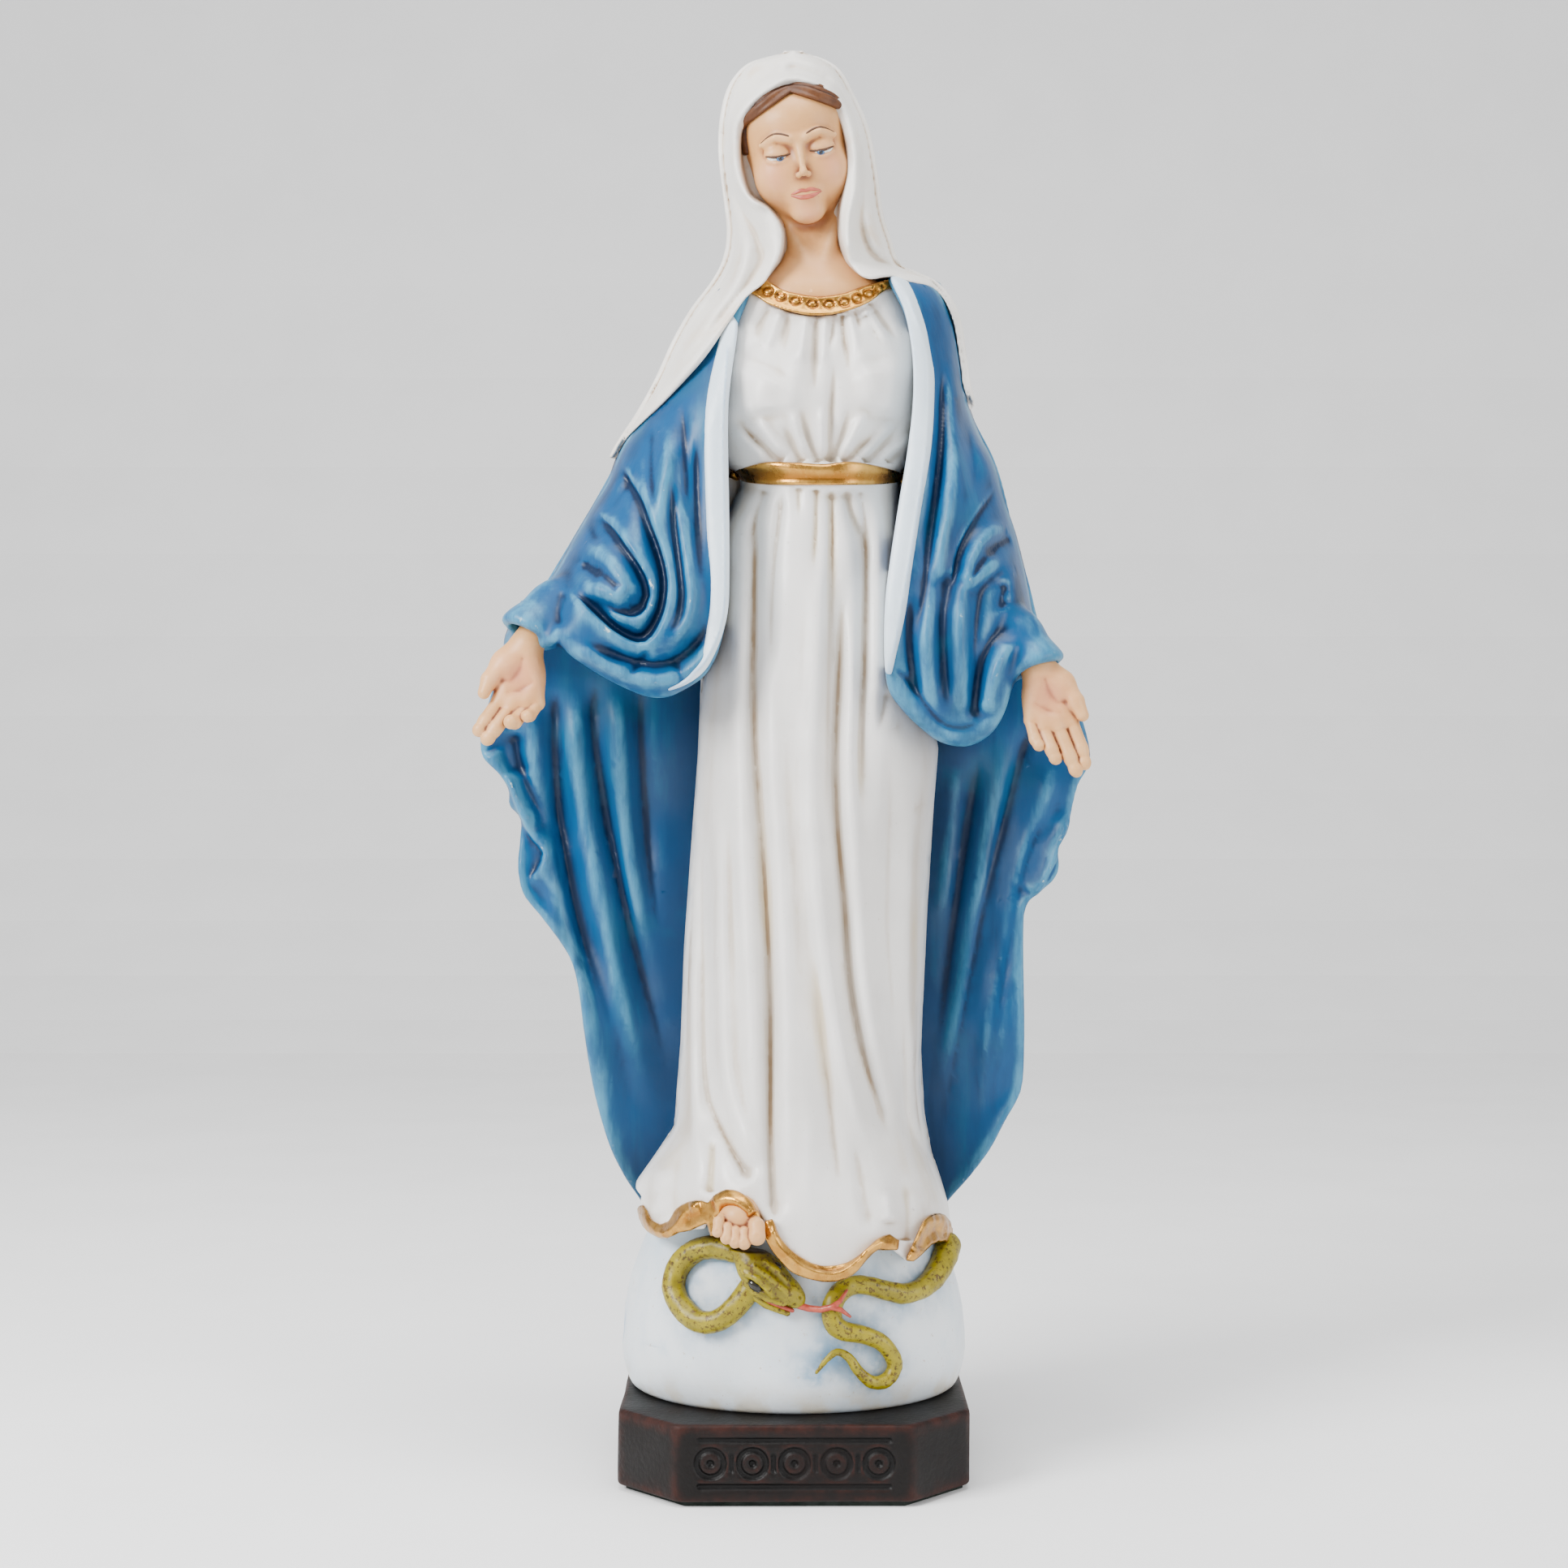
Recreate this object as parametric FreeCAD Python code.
import FreeCAD, Part
import math
import os
from FreeCAD import Vector

# Free-standing devotional statue: a robed figure standing on a globe, on an
# eight-sided plinth. Millimetres. +Z is up, the figure faces -Y, and its right
# hand is on the -X side. The origin is the middle of the felt's underside.

# ---- driving dimensions ------------------------------------------------------

# Felt pad and plinth
felt_thickness = 1.0
felt_inset = 1.5
plinth_width = 72.0
plinth_depth = 72.0
plinth_height = 15.5
plinth_corner = 12.5
plinth_bevel = 1.2
ornament_depth = 0.8
ornament_width = 34.0
ornament_height = 6.0

# Fixings between the plinth and the globe
screw_diameter = 4.0
screw_grip = 19.0
screw_head_diameter = 8.0
screw_head_height = 2.6
screw_clearance = 0.3
washer_diameter = 12.0
washer_thickness = 1.0
counterbore_diameter = 16.0
counterbore_depth = 5.5
insert_diameter = 6.5
insert_length = 12.0
dowel_diameter = 4.0
dowel_length = 13.0
dowel_spacing = 34.0
dowel_clearance = 0.1

# Globe
globe_width = 73.2
globe_depth = 60.0
globe_height = 53.5
globe_equator = 8.5
globe_wall = 6.0
globe_boss_diameter = 16.0

# Serpent
serpent_diameter = 4.6
serpent_tail_diameter = 1.4
serpent_sink = 0.9
serpent_head_length = 14.0
serpent_head_width = 8.0
tongue_length = 11.0
tongue_width = 1.8
tongue_thickness = 0.9

# Figure
hem_drop = 17.5
hem_overhang = 2.4
hem_trim_height = 5.0
hem_trim_proud = 1.2
skirt_length = 153.5
skirt_core_diameter = 15.0
skirt_core_depth = 112.0
waist_width = 37.0
waist_depth = 25.0
girdle_height = 4.5
girdle_proud = 0.8
bodice_height = 34.0
bust_width = 42.0
bust_depth = 30.0
collar_width = 29.0
collar_depth = 23.0
collar_height = 4.5
collar_thickness = 2.0
neck_diameter = 13.0
head_rise = 28.5
head_width = 23.0
head_depth = 27.0
head_height = 31.0
hair_thickness = 1.6
veil_thickness = 5.0
foot_length = 17.0
foot_width = 12.0
foot_height = 7.5

# Mantle
mantle_overhang = 2.5
mantle_shoulder_rear = 19.0
mantle_front = -5.0
drape_depth = 34.0
lining_width = 5.0
lining_depth = 14.0

# Hands
wrist_diameter = 8.0
palm_width = 13.0
palm_length = 12.0
palm_thickness = 6.5
finger_diameter = 3.6
cuff_clearance = 0.25
pin_diameter = 2.5
pin_length = 14.0
pin_in_hand = 3.0
pin_lean = 32.0
pin_slope = 28.0
pin_clearance = 0.05

# How far apart surfaces may be and still be taken as one, where an exact cut fails
cut_tolerance = 0.01

# ---- levels and places worked out from the dimensions ------------------------

z_plinth = felt_thickness + plinth_height
z_equator = z_plinth + globe_equator
z_globe = z_plinth + globe_height
z_hem = z_globe - hem_drop
z_waist = z_hem + skirt_length
z_bodice = z_waist + girdle_height
z_shoulder = z_bodice + bodice_height
z_collar = z_shoulder + collar_height
z_head = z_collar + head_rise

globe_half_width = globe_width / 2
globe_half_depth = globe_depth / 2
globe_rise = z_globe - z_equator

waist_x = 1.5
bust_x = 4.0
neck_x = 5.0
neck_y = -4.0
head_x = 1.5
head_y = -4.0
waist_y = -4.0


# ---- shape helpers -----------------------------------------------------------

def closed_curve(points):
    """A smooth closed wire through the points."""
    curve = Part.BSplineCurve()
    curve.interpolate(points, PeriodicFlag=True)
    return Part.Wire([curve.toShape()])


def ring(x, y, z, half_width, half_depth):
    """A level ellipse, always started at its +X end so that lofts don't twist."""
    turns = 16
    points = []
    for step in range(turns):
        angle = 2 * math.pi * step / turns
        points.append(Vector(x + half_width * math.cos(angle), y + half_depth * math.sin(angle), z))
    return closed_curve(points)


def loft(wires, straight=False):
    """A solid skinned over closed wires, smooth from wire to wire or with straight runs."""
    return Part.makeLoft(wires, True, straight)


def ellipsoid(centre, half_x, half_y, half_z):
    ball = Part.makeSphere(1.0)
    stretch = FreeCAD.Matrix()
    stretch.scale(half_x, half_y, half_z)
    ball = ball.transformGeometry(stretch)
    ball.translate(centre)
    return ball


def turned(shape, centre, axis, degrees):
    copy = shape.copy()
    copy.rotate(centre, axis, degrees)
    return copy


def octagon(width, depth, corner, z):
    """A rectangle with its four corners cut off, as a level face."""
    half_x = width / 2
    half_y = depth / 2
    points = []
    for sign_x, sign_y in ((1, 1), (-1, 1), (-1, -1), (1, -1)):
        on_side = Vector(sign_x * half_x, sign_y * (half_y - corner), z)
        on_end = Vector(sign_x * (half_x - corner), sign_y * half_y, z)
        pair = [on_side, on_end] if sign_x * sign_y > 0 else [on_end, on_side]
        points.extend(pair)
    points.append(points[0])
    return Part.Face(Part.makePolygon(points))


def capsule(start, end, radius):
    """A round-ended rod from one point to another."""
    run = end.sub(start)
    length = run.Length
    half = [
        Part.Arc(Vector(0, 0, -radius), Vector(radius * math.sqrt(0.5), 0, -radius * math.sqrt(0.5)),
                 Vector(radius, 0, 0)).toShape(),
        Part.makeLine(Vector(radius, 0, 0), Vector(radius, 0, length)),
        Part.Arc(Vector(radius, 0, length),
                 Vector(radius * math.sqrt(0.5), 0, length + radius * math.sqrt(0.5)),
                 Vector(0, 0, length + radius)).toShape(),
        Part.makeLine(Vector(0, 0, length + radius), Vector(0, 0, -radius)),
    ]
    rod = Part.Face(Part.Wire(half)).revolve(Vector(0, 0, 0), Vector(0, 0, 1), 360)
    rod.Placement = FreeCAD.Placement(start, FreeCAD.Rotation(Vector(0, 0, 1), run))
    return rod


def pillow(outline, middle_y, depth):
    """A rounded slab: the upright outline, drawn in towards its front and its back."""
    centre_x = sum(x for x, z in outline) / len(outline)
    centre_z = sum(z for x, z in outline) / len(outline)
    wires = []
    for offset, size in ((-0.5, 0.55), (-0.28, 0.9), (0.0, 1.0), (0.5, 0.85)):
        points = []
        for x, z in outline:
            across = centre_x + (x - centre_x) * size
            up = centre_z + (z - centre_z) * size
            points.append(Vector(across, middle_y + offset * depth, up))
        wires.append(closed_curve(points))
    return loft(wires)


def slab(outline, front_y, back_y):
    """A flat plate with the smooth upright outline, from front_y to back_y."""
    wire = closed_curve([Vector(x, front_y, z) for x, z in outline])
    return Part.Face(wire).extrude(Vector(0, back_y - front_y, 0))


def cut_all(shape, tools):
    """Cuts with each tool in turn, loosening the tolerance where an exact cut comes out empty."""
    for tool in tools:
        rest = shape.cut(tool)
        if rest.isNull() or not rest.Solids:
            rest = shape.cut((tool,), cut_tolerance)
        shape = rest
    return shape


def largest(shape):
    """The biggest solid of a cut shape, without the slivers that a cut can leave."""
    return max(shape.Solids, key=lambda solid: solid.Volume)


def globe_point(longitude, latitude, lift):
    """A point over the globe: longitude 0 faces -Y and grows towards +X."""
    east = math.radians(longitude)
    north = math.radians(latitude)
    return Vector(
        (globe_half_width + lift) * math.cos(north) * math.sin(east),
        -(globe_half_depth + lift) * math.cos(north) * math.cos(east),
        z_equator + (globe_rise + lift) * math.sin(north),
    )


def globe_scale(z):
    """How wide the globe is at a level, as a share of its widest."""
    return math.sqrt(1 - ((z - z_equator) / globe_rise) ** 2)


# ---- plinth, felt and fixings ------------------------------------------------

def make_felt_pad():
    """A plain pad, glued on last, so that it covers the screw."""
    face = octagon(plinth_width - 2 * felt_inset, plinth_depth - 2 * felt_inset, plinth_corner, 0)
    return face.extrude(Vector(0, 0, felt_thickness))


def make_plinth():
    body = octagon(plinth_width, plinth_depth, plinth_corner, felt_thickness)
    body = body.extrude(Vector(0, 0, plinth_height))
    top_edges = [edge for edge in body.Edges
                 if all(abs(corner.Z - z_plinth) < 0.01 for corner in edge.Vertexes)]
    body = body.makeChamfer(plinth_bevel, top_edges)
    body = body.cut(Part.makeCylinder(counterbore_diameter / 2, counterbore_depth,
                                      Vector(0, 0, felt_thickness)))
    body = body.cut(Part.makeCylinder(screw_diameter / 2 + screw_clearance, plinth_height,
                                      Vector(0, 0, felt_thickness)))
    body = cut_all(body, dowel_rods(dowel_clearance))
    return cut_all(body, ornament_cuts())


def ornament_cuts():
    """A row of shallow round grooves between two long lines, in the front face."""
    cuts = []
    front = -plinth_depth / 2
    middle = felt_thickness + plinth_height / 2
    for side in (-1, 1):
        line = Part.makeBox(ornament_width, 2 * ornament_depth, ornament_depth)
        line.translate(Vector(-ornament_width / 2, front - ornament_depth,
                              middle + side * ornament_height / 2 - ornament_depth / 2))
        cuts.append(line)
    ring_count = 5
    ring_radius = ornament_height / 2 - 1.2 * ornament_depth
    pitch = ornament_width / ring_count
    for index in range(ring_count):
        x = (index - (ring_count - 1) / 2) * pitch
        bead = Part.makeTorus(ring_radius, ornament_depth / 2, Vector(x, front, middle), Vector(0, 1, 0))
        cuts.append(bead)
    return cuts


def screw_seat():
    """The level that the washer rests against, inside the counterbore."""
    return felt_thickness + counterbore_depth


def make_base_screw():
    seat = screw_seat() - washer_thickness
    head = Part.makeCylinder(screw_head_diameter / 2, screw_head_height,
                             Vector(0, 0, seat - screw_head_height))
    slot = Part.makeBox(screw_head_diameter, 1.0, 1.2)
    slot.translate(Vector(-screw_head_diameter / 2, -0.5, seat - screw_head_height))
    shank = Part.makeCylinder(screw_diameter / 2, screw_grip, Vector(0, 0, seat))
    return head.fuse(shank).cut(slot).removeSplitter()


def make_screw_washer():
    base = Vector(0, 0, screw_seat() - washer_thickness)
    disc = Part.makeCylinder(washer_diameter / 2, washer_thickness, base)
    return disc.cut(Part.makeCylinder(screw_diameter / 2 + screw_clearance, washer_thickness, base))


def make_threaded_insert():
    base = Vector(0, 0, z_plinth)
    sleeve = Part.makeCylinder(insert_diameter / 2, insert_length, base)
    return sleeve.cut(Part.makeCylinder(screw_diameter / 2, insert_length, base))


def dowel_rods(clearance):
    rods = []
    for side in (-1, 1):
        base = Vector(side * dowel_spacing / 2, 0, z_plinth - dowel_length / 2 - clearance)
        rods.append(Part.makeCylinder(dowel_diameter / 2 + clearance, dowel_length + 2 * clearance, base))
    return rods


# ---- globe and serpent -------------------------------------------------------

def make_dome(inset):
    """The globe's ellipsoid, drawn in by the inset and cut off level with the plinth's top."""
    dome = ellipsoid(Vector(0, 0, z_equator), globe_half_width - inset, globe_half_depth - inset,
                     globe_rise - inset)
    floor = Part.makeBox(4 * globe_width, 4 * globe_width, 4 * globe_width)
    floor.translate(Vector(-2 * globe_width, -2 * globe_width, z_plinth - 4 * globe_width))
    return dome.cut(floor)


def make_globe(dome):
    hollow = make_dome(globe_wall)
    boss = Part.makeCylinder(globe_boss_diameter / 2, globe_height, Vector(0, 0, z_plinth))
    hollow = hollow.cut(boss)
    for side in (-1, 1):
        lug = Part.makeCylinder(dowel_diameter, globe_height, Vector(side * dowel_spacing / 2, 0, z_plinth))
        hollow = hollow.cut(lug)
    ball = dome.cut(hollow)
    ball = ball.cut(Part.makeCylinder(insert_diameter / 2, insert_length, Vector(0, 0, z_plinth)))
    screw_room = screw_seat() - washer_thickness + screw_grip + screw_clearance - z_plinth
    ball = ball.cut(Part.makeCylinder(screw_diameter / 2 + screw_clearance, screw_room,
                                      Vector(0, 0, z_plinth)))
    return cut_all(ball, dowel_rods(dowel_clearance))


# The serpent's route over the globe, as longitude and latitude in degrees.
tail_route = [
    (76, 28), (66, 25), (55, 21), (46, 19), (38, 19), (31, 20), (25, 22), (19, 22), (14, 20), (12, 17),
    (12, 13), (15, 11), (21, 10), (27, 8), (31, 5), (32, 1), (29, -2), (24, -2), (20, 1), (17, 5),
    (12, 6), (9, 4), (6, 1),
]
neck_route = [
    (-13, 29), (-22, 31), (-31, 32), (-38, 30), (-43, 26), (-43, 20), (-38, 15), (-31, 12), (-24, 13),
    (-19, 17), (-15, 22),
]


def tube(points, diameters):
    """A round body through the points, with its own diameter at each one."""
    wires = []
    for index, point in enumerate(points):
        before = points[max(index - 1, 0)]
        after = points[min(index + 1, len(points) - 1)]
        circle = Part.Circle(point, after.sub(before), diameters[index] / 2)
        wires.append(Part.Wire([circle.toShape()]))
    return loft(wires)


def smooth_points(points, count):
    """Evenly spread points on a smooth curve through the given ones."""
    curve = Part.BSplineCurve()
    curve.interpolate(points)
    return curve.discretize(count)


def make_serpent_body():
    lift = serpent_diameter / 2 - serpent_sink
    tail = smooth_points([globe_point(east, north, lift) for east, north in tail_route], 48)
    diameters = []
    for index in range(len(tail)):
        share = index / (len(tail) - 1)
        diameters.append(serpent_diameter + (serpent_tail_diameter - serpent_diameter) * share ** 2)
    neck = smooth_points([globe_point(east, north, lift) for east, north in neck_route], 22)
    return [tube(tail, diameters), tube(neck, [serpent_diameter] * len(neck))]


serpent_head_tilt = 38.0


def serpent_head_place():
    return globe_point(-7, 24, serpent_head_width / 4)


def make_serpent_head():
    centre = serpent_head_place()
    skull = ellipsoid(centre, serpent_head_length / 2, serpent_head_width / 2.4, serpent_head_width / 2)
    return turned(skull, centre, Vector(0, 1, 0), serpent_head_tilt)


def make_serpent_tongue():
    centre = serpent_head_place()
    half = tongue_width / 2
    start = serpent_head_length / 2 - 3.0
    fork = start + 0.6 * tongue_length
    end = start + tongue_length
    outline = [
        (start, -half), (fork, -half), (end, -2.2 * half), (fork + tongue_width, 0),
        (end, 2.2 * half), (fork, half), (start, half), (start, -half),
    ]
    face = Part.Face(Part.makePolygon([Vector(along, 0, up) for along, up in outline]))
    blade = face.extrude(Vector(0, tongue_thickness, 0))
    blade.translate(Vector(centre.x, centre.y - tongue_thickness / 2, centre.z - 1.5))
    return turned(blade, centre, Vector(0, 1, 0), 20.0)


# ---- dress -------------------------------------------------------------------

def hem_half_width():
    return globe_half_width * globe_scale(z_hem - hem_trim_height) + hem_overhang


def hem_half_depth():
    return globe_half_depth * globe_scale(z_hem - hem_trim_height) + hem_overhang


# Share of the skirt's length, x of the middle, and how far the width and the
# depth have gone from the hem's (0) to the waist's (1).
skirt_sections = [(0.0, 0.0, 0.0), (0.16, 1.0, 0.45), (0.34, 2.0, 0.5), (0.64, 4.0, 0.6), (1.0, waist_x, 1.0)]


def make_skirt_blank():
    wires = []
    for share, x, gone in skirt_sections:
        half_width = hem_half_width() * (1 - gone) + waist_width / 2 * gone
        half_depth = hem_half_depth() * (1 - gone) + waist_depth / 2 * gone
        wires.append(ring(x, waist_y * share, z_hem + share * skirt_length, half_width, half_depth))
    return loft(wires)


def make_skirt_core():
    return Part.makeCone(skirt_core_diameter / 2, skirt_core_diameter / 3, skirt_core_depth,
                         Vector(0, 0, z_globe - globe_wall))


def make_hem_trim_blank():
    low = ring(0, 0, z_hem - hem_trim_height, hem_half_width() + hem_trim_proud,
               hem_half_depth() + hem_trim_proud)
    high = ring(0, 0, z_hem, hem_half_width() + hem_trim_proud / 2, hem_half_depth() + hem_trim_proud / 2)
    return loft([low, high])


def make_foot_blank():
    centre = Vector(-globe_half_width * 0.28, -hem_half_depth() + foot_length * 0.2, z_hem + 1.0)
    return ellipsoid(centre, foot_width / 2, foot_length / 2, foot_height / 2)


def make_girdle():
    half_width = waist_width / 2 + girdle_proud
    half_depth = waist_depth / 2 + girdle_proud
    return loft([ring(waist_x, waist_y, z_waist, half_width, half_depth),
                 ring(waist_x, waist_y, z_bodice, half_width, half_depth)])


def make_bodice_blank():
    return loft([
        ring(waist_x, waist_y, z_bodice, waist_width / 2, waist_depth / 2),
        ring(bust_x, waist_y, z_bodice + bodice_height * 0.55, bust_width / 2, bust_depth / 2),
        ring(neck_x, neck_y, z_shoulder, collar_width / 2 + 1.0, collar_depth / 2 + 1.0),
    ])


def make_head():
    inner_width = collar_width / 2 - collar_thickness
    inner_depth = collar_depth / 2 - collar_thickness
    neck_share = (head_rise - head_height / 2) / head_rise
    neck_top = z_collar + head_rise
    chest = loft([
        ring(neck_x, neck_y, z_shoulder, inner_width, inner_depth),
        ring(neck_x, neck_y, z_collar - 1.0, inner_width - 0.5, inner_depth - 0.5),
        ring(neck_x * (1 - neck_share) + head_x * neck_share, neck_y, z_collar + head_rise * 0.3,
             neck_diameter / 2, neck_diameter / 2),
        ring(head_x, head_y, neck_top, neck_diameter / 2, neck_diameter / 2),
    ])
    centre = Vector(head_x, head_y, z_head)
    skull = ellipsoid(centre, head_width / 2, head_depth / 2, head_height / 2)
    skull = turned(skull, centre, Vector(0, 1, 0), -11.0)
    return skull.fuse(chest)


def make_collar_blank():
    return loft([
        ring(neck_x, neck_y, z_shoulder, collar_width / 2, collar_depth / 2),
        ring(neck_x, neck_y, z_collar, collar_width / 2 - 0.8, collar_depth / 2 - 0.8),
    ])


def face_opening(clearance):
    """The space in front of the face, which the hair and the veil leave open."""
    half_width = head_width / 2 - clearance
    half_height = head_height / 2 + 4.0
    bore = ellipsoid(Vector(head_x, head_y - head_depth, z_head - 5.0), half_width, head_depth * 1.05,
                     half_height - clearance)
    return turned(bore, Vector(head_x, head_y, z_head), Vector(0, 1, 0), -11.0)


def make_hair_blank():
    centre = Vector(head_x, head_y + 0.8, z_head + 0.5)
    cap = ellipsoid(centre, head_width / 2 + hair_thickness, head_depth / 2 + hair_thickness,
                    head_height / 2 + hair_thickness)
    cap = turned(cap, centre, Vector(0, 1, 0), -11.0)
    return cap.cut(face_opening(1.5))


# ---- veil and mantle ---------------------------------------------------------

def make_veil_blank():
    half_width = head_width / 2 + hair_thickness + veil_thickness * 0.55
    centre = Vector(head_x, head_y + 3.0, z_head + 1.0)
    hood = ellipsoid(centre, half_width, head_depth / 2 + veil_thickness,
                     head_height / 2 + veil_thickness + hair_thickness - 1.0)
    cape = loft([
        ring(head_x + 0.5, 0.0, z_head - 2.0, half_width, head_depth / 2 + 2.5),
        ring(neck_x - 1.0, 1.0, z_collar + 10.0, half_width + 1.5, collar_depth / 2 + 6.0),
        ring(neck_x, 3.0, z_shoulder + 1.0, bust_width / 2 + 5.0, collar_depth / 2 + 6.0),
        ring(waist_x + 2.0, 5.0, z_shoulder - 13.0, bust_width / 2 + 13.0, 15.0),
        ring(waist_x - 1.0, 6.0, z_shoulder - 27.0, bust_width / 2 + 17.0, 15.5),
    ])
    veil = hood.fuse(cape)
    chest_opening = slab([
        (-4, z_collar + 17), (-3, z_collar + 12), (-6, z_collar + 3), (-12, z_collar - 5),
        (-20, z_collar - 15), (-28, z_collar - 24), (-42, z_collar - 34), (-30, z_collar - 60),
        (30, z_collar - 60), (50, z_collar - 26), (35, z_collar - 14), (31, z_collar - 2),
        (24, z_collar + 2), (15, z_collar + 3), (11, z_collar + 8), (10, z_collar + 17),
    ], -60.0, 0.0)
    return veil.cut(chest_opening).cut(face_opening(0.0))


# Each section of the back: share of the height from the hem to the shoulders,
# x of the middle and half width.
back_sections = [
    (0.0, 0.0, 35.0), (0.07, 1.0, 40.0), (0.14, 2.0, 45.0), (0.27, 1.0, 48.0), (0.34, 0.0, 53.0),
    (0.40, -1.0, 58.0), (0.47, -3.0, 64.0), (0.50, -3.0, 65.0), (0.56, -3.0, 58.0), (0.62, -1.0, 48.0),
    (0.78, 0.0, 42.0), (0.90, 1.5, 34.0), (0.98, 4.0, 24.0),
]


def make_mantle_back_blank():
    wires = []
    height = z_shoulder + 6.0 - z_hem
    for share, x, half_width in back_sections:
        rear = (hem_half_depth() + mantle_overhang) * (1 - share) + mantle_shoulder_rear * share
        middle = (mantle_front + rear) / 2
        wires.append(ring(x, middle, z_hem + share * height, half_width, rear - middle))
    return loft(wires, straight=True)


def from_shoulder(points):
    """Outline points given as x and how far they hang below the shoulder."""
    return [(x, z_shoulder - drop) for x, drop in points]


def make_right_drape_blank():
    outline = from_shoulder([
        (-17, 4), (-26, 15), (-34, 27), (-41, 41), (-48, 51), (-54, 59), (-59, 64), (-59, 70), (-53, 73),
        (-48, 71), (-42, 76), (-35, 80), (-28, 82), (-22, 79), (-18, 73), (-17, 56), (-18, 36), (-18, 18),
    ])
    return pillow(outline, -9.0, drape_depth)


def make_left_drape_blank():
    outline = from_shoulder([
        (27, 0), (33, 4), (37, 18), (42, 32), (46, 45), (49, 57), (53, 71), (58, 81), (55, 85), (48, 82),
        (44, 84), (40, 90), (34, 93), (28, 91), (23, 87), (20, 78), (21, 64), (23, 45), (24, 25), (25, 9),
    ])
    return pillow(outline, -9.0, drape_depth)


def make_lining_band(points):
    """The pale turned-back edge of the mantle, as a narrow hanging strip."""
    left = [(x - lining_width / 2, drop) for x, drop in points]
    right = [(x + lining_width / 2, drop) for x, drop in reversed(points)]
    return slab(from_shoulder(left + right), -20.0, -20.0 + lining_depth)


# ---- hands -------------------------------------------------------------------

def place(anchor, along, across, up):
    """A point of a hand: its side mirrors x, and it is measured from the wrist."""
    wrist, side = anchor
    return Vector(wrist.x + side * across, wrist.y + along, wrist.z + up)


# For each finger: where it leaves the palm, its middle joint and its tip, each
# as outward, forward and downward distances from the wrist.
finger_routes = [
    ((-1.5, -1.0, 11.5), (-1.5, -3.5, 15.5), (-0.5, -3.0, 19.5)),
    ((1.5, -1.0, 12.5), (1.5, -3.0, 17.0), (3.0, -2.5, 21.5)),
    ((4.5, -1.0, 12.5), (6.0, -2.0, 18.0), (8.5, -2.0, 23.5)),
    ((7.0, -1.0, 11.0), (9.0, -1.5, 16.0), (11.0, -1.5, 21.0)),
    ((6.5, -1.5, 4.0), (9.5, -2.5, 8.0), (11.5, -2.5, 12.0)),
]


def make_hand(wrist, side):
    anchor = (wrist, side)
    palm_middle = place(anchor, 0.0, 2.5, -7.5)
    hand = ellipsoid(palm_middle, palm_width / 2, palm_thickness / 2, palm_length / 2)
    hand = turned(hand, palm_middle, Vector(0, 1, 0), -side * 18.0)
    forearm = Part.makeCylinder(wrist_diameter / 2, 8.0, Vector(wrist.x, wrist.y, wrist.z - 4.0))
    hand = hand.fuse(forearm)
    for route in finger_routes:
        joints = [place(anchor, forward, out, -down) for out, forward, down in route]
        hand = hand.fuse(capsule(joints[0], joints[1], finger_diameter / 2))
        hand = hand.fuse(capsule(joints[1], joints[2], finger_diameter / 2 - 0.2))
    return hand


def make_wrist_pin(wrist, side, clearance):
    """A pin that leans up the sleeve, inwards and back."""
    pin = Part.makeCylinder(pin_diameter / 2 + clearance, pin_length + 2 * clearance,
                            Vector(wrist.x, wrist.y, wrist.z - pin_in_hand - clearance))
    pin = turned(pin, wrist, Vector(0, 1, 0), -side * pin_lean)
    return turned(pin, wrist, Vector(1, 0, 0), -pin_slope)


def make_cuff_hollow(wrist):
    depth = 4.0 + cuff_clearance
    return Part.makeCylinder(wrist_diameter / 2 + cuff_clearance, 30.0, Vector(wrist.x, wrist.y,
                                                                             wrist.z + depth - 30.0))


# ---- assembly ----------------------------------------------------------------

felt_pad = make_felt_pad()
plinth = make_plinth()
base_screw = make_base_screw()
screw_washer = make_screw_washer()
threaded_insert = make_threaded_insert()
locating_dowels = dowel_rods(0.0)

# Each blank is cut with the whole blanks of what it lies over or against.
dome = make_dome(0.0)
serpent_head = make_serpent_head()
serpent_body = [largest(part.cut(serpent_head)) for part in make_serpent_body()]
serpent_tongue = largest(cut_all(make_serpent_tongue(), [serpent_head] + serpent_body))
serpent = serpent_body + [serpent_head, serpent_tongue]
globe = largest(cut_all(make_globe(dome), serpent))

foot_blank = make_foot_blank()
skirt_blank = make_skirt_blank()
bodice = make_bodice_blank()
girdle = make_girdle()
head = make_head()
foot = largest(cut_all(foot_blank, [dome] + serpent))
skirt = largest(cut_all(skirt_blank, [dome, foot_blank, make_skirt_core()]))
hem_trim = largest(cut_all(make_hem_trim_blank(), [dome, foot_blank] + serpent))
collar_blank = make_collar_blank()
collar = collar_blank.cut(head)
hair = largest(make_hair_blank().cut(head))

dress = [skirt_blank, girdle, bodice]
mantle_back = largest(cut_all(make_mantle_back_blank(), [dome, collar_blank, head] + dress))

right_wrist = Vector(-54.0, -18.0, z_shoulder - 69.0)
left_wrist = Vector(49.0, -18.0, z_shoulder - 77.0)
right_hand = make_hand(right_wrist, -1)
left_hand = make_hand(left_wrist, 1)
right_wrist_pin = make_wrist_pin(right_wrist, -1, 0.0)
left_wrist_pin = make_wrist_pin(left_wrist, 1, 0.0)

right_band_line = [(-13, 8), (-15, 22), (-16, 36), (-15, 56), (-16, 68), (-20, 76)]
left_band_line = [(22, 5), (26, 18), (26, 34), (23, 52), (21, 66), (20, 76)]
right_lining_band = largest(cut_all(make_lining_band(right_band_line), dress + [mantle_back]))
left_lining_band = largest(cut_all(make_lining_band(left_band_line), dress + [mantle_back]))


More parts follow.
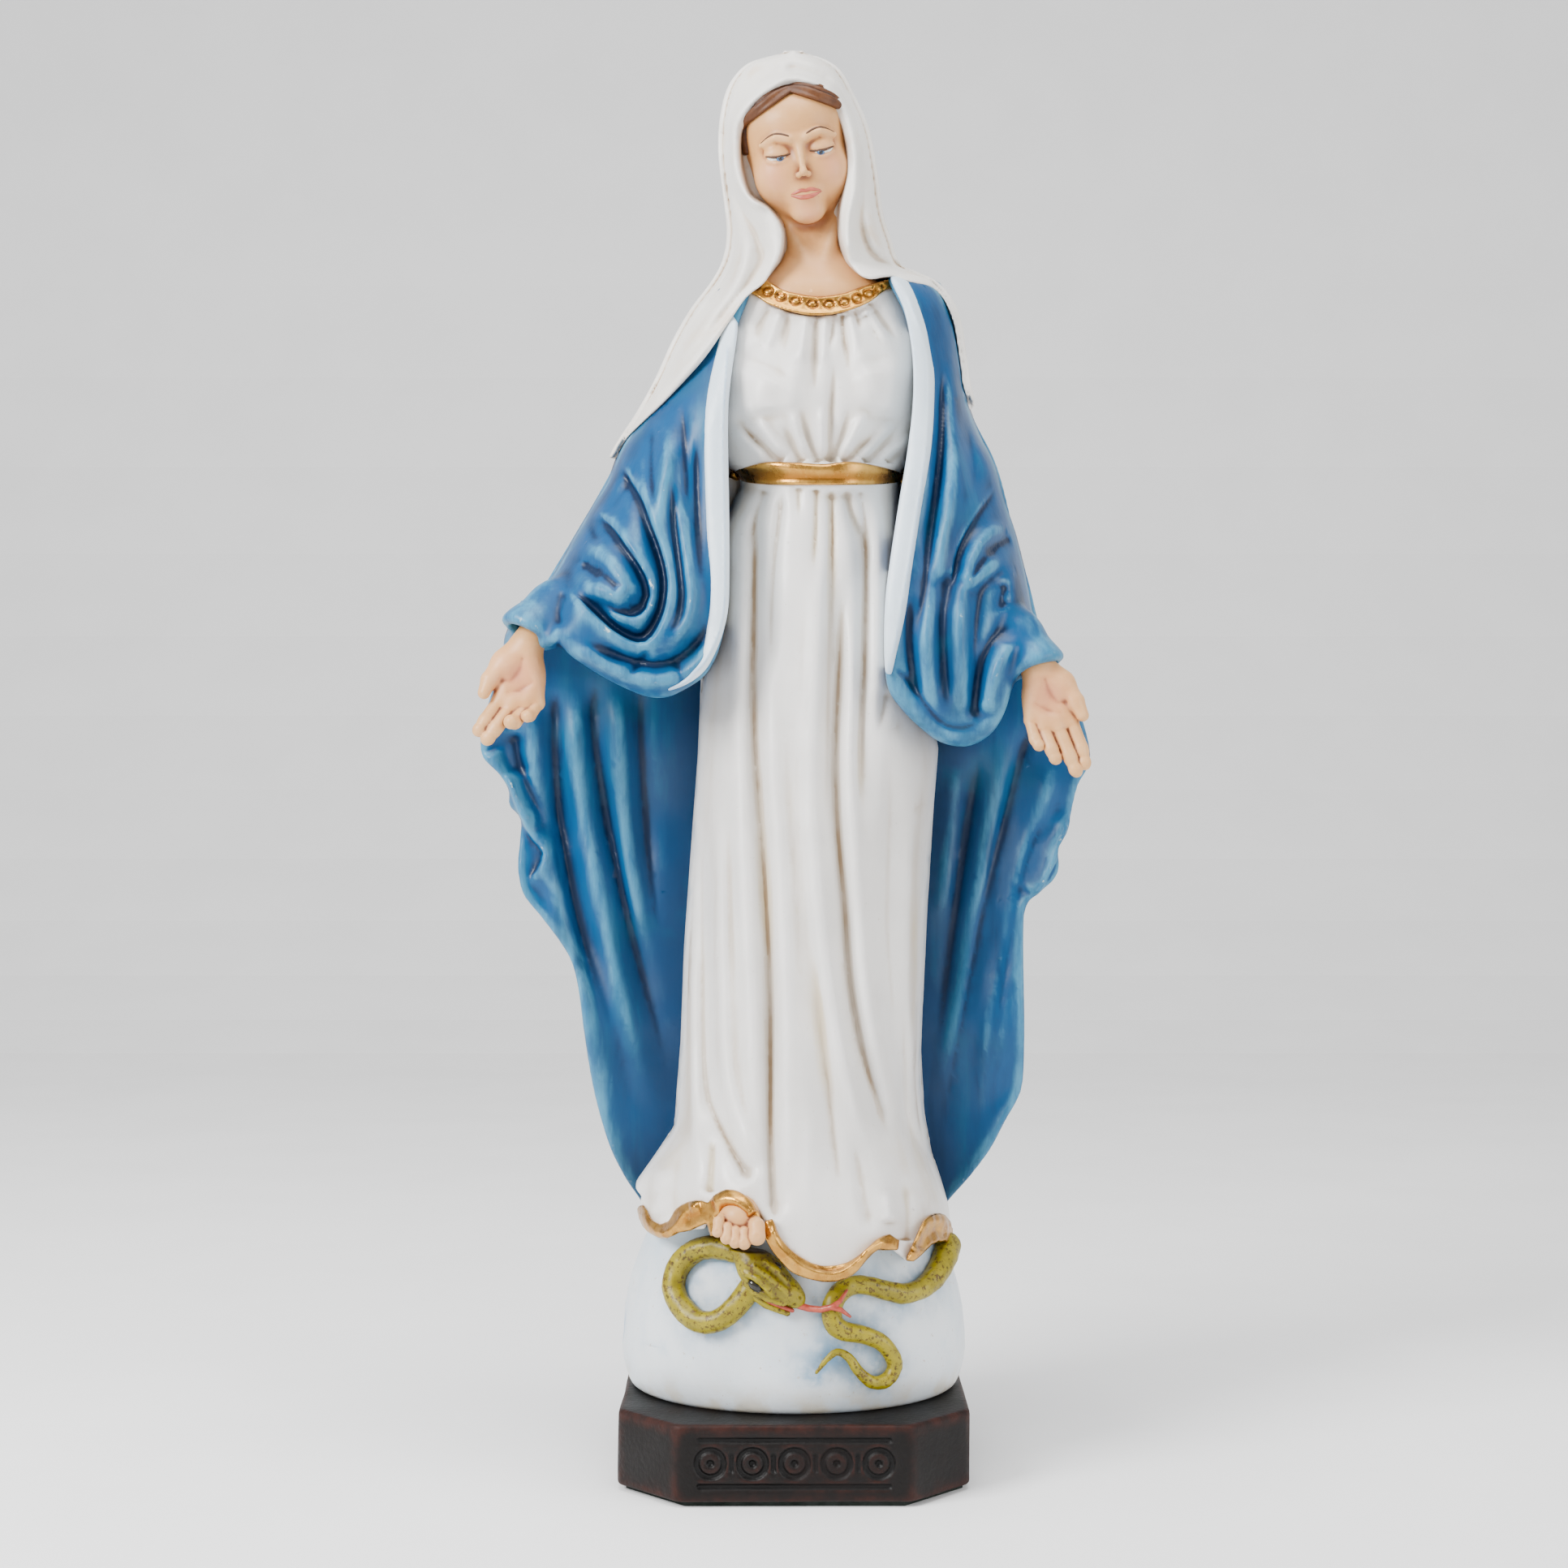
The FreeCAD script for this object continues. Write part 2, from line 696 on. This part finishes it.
def hang_drape(blank, band, wrist, side, hand):
    """A drape with its cuff hollow and its pin hole, clear of the hand and the band."""
    pin_hole = make_wrist_pin(wrist, side, pin_clearance)
    cuts = dress + [mantle_back, band, make_cuff_hollow(wrist), pin_hole, hand]
    return largest(cut_all(blank, cuts))


right_arm_drape = hang_drape(make_right_drape_blank(), right_lining_band, right_wrist, -1, right_hand)
left_arm_drape = hang_drape(make_left_drape_blank(), left_lining_band, left_wrist, 1, left_hand)
right_hand = largest(right_hand.cut(make_wrist_pin(right_wrist, -1, pin_clearance)))
left_hand = largest(left_hand.cut(make_wrist_pin(left_wrist, 1, pin_clearance)))

veil = largest(cut_all(make_veil_blank(), [
    head, hair, collar, bodice, mantle_back, right_arm_drape, left_arm_drape,
    right_lining_band, left_lining_band]))

nodes = {
    "felt_pad": felt_pad,
    "plinth": plinth,
    "base_screw": base_screw,
    "screw_washer": screw_washer,
    "threaded_insert": threaded_insert,
    "locating_dowels": Part.makeCompound(locating_dowels),
    "globe": globe,
    "serpent_body": Part.makeCompound(serpent_body),
    "serpent_head": serpent_head,
    "serpent_tongue": serpent_tongue,
    "skirt": skirt,
    "hem_trim": hem_trim,
    "foot": foot,
    "girdle": girdle,
    "bodice": bodice,
    "collar": collar,
    "head": head,
    "hair": hair,
    "veil": veil,
    "mantle_back": mantle_back,
    "right_arm_drape": right_arm_drape,
    "left_arm_drape": left_arm_drape,
    "right_lining_band": right_lining_band,
    "left_lining_band": left_lining_band,
    "right_hand": right_hand,
    "left_hand": left_hand,
    "right_wrist_pin": right_wrist_pin,
    "left_wrist_pin": left_wrist_pin,
}

os.makedirs("parts", exist_ok=True)
for name, shape in nodes.items():
    shape.exportStep("parts/" + name + ".step")
    box = shape.BoundBox
    print(f"{name:20s} solids {len(shape.Solids)} valid {shape.isValid()} volume {shape.Volume:9.0f}"
          f"  x {box.XMin:6.1f} {box.XMax:6.1f}  y {box.YMin:6.1f} {box.YMax:6.1f}"
          f"  z {box.ZMin:6.1f} {box.ZMax:6.1f}")
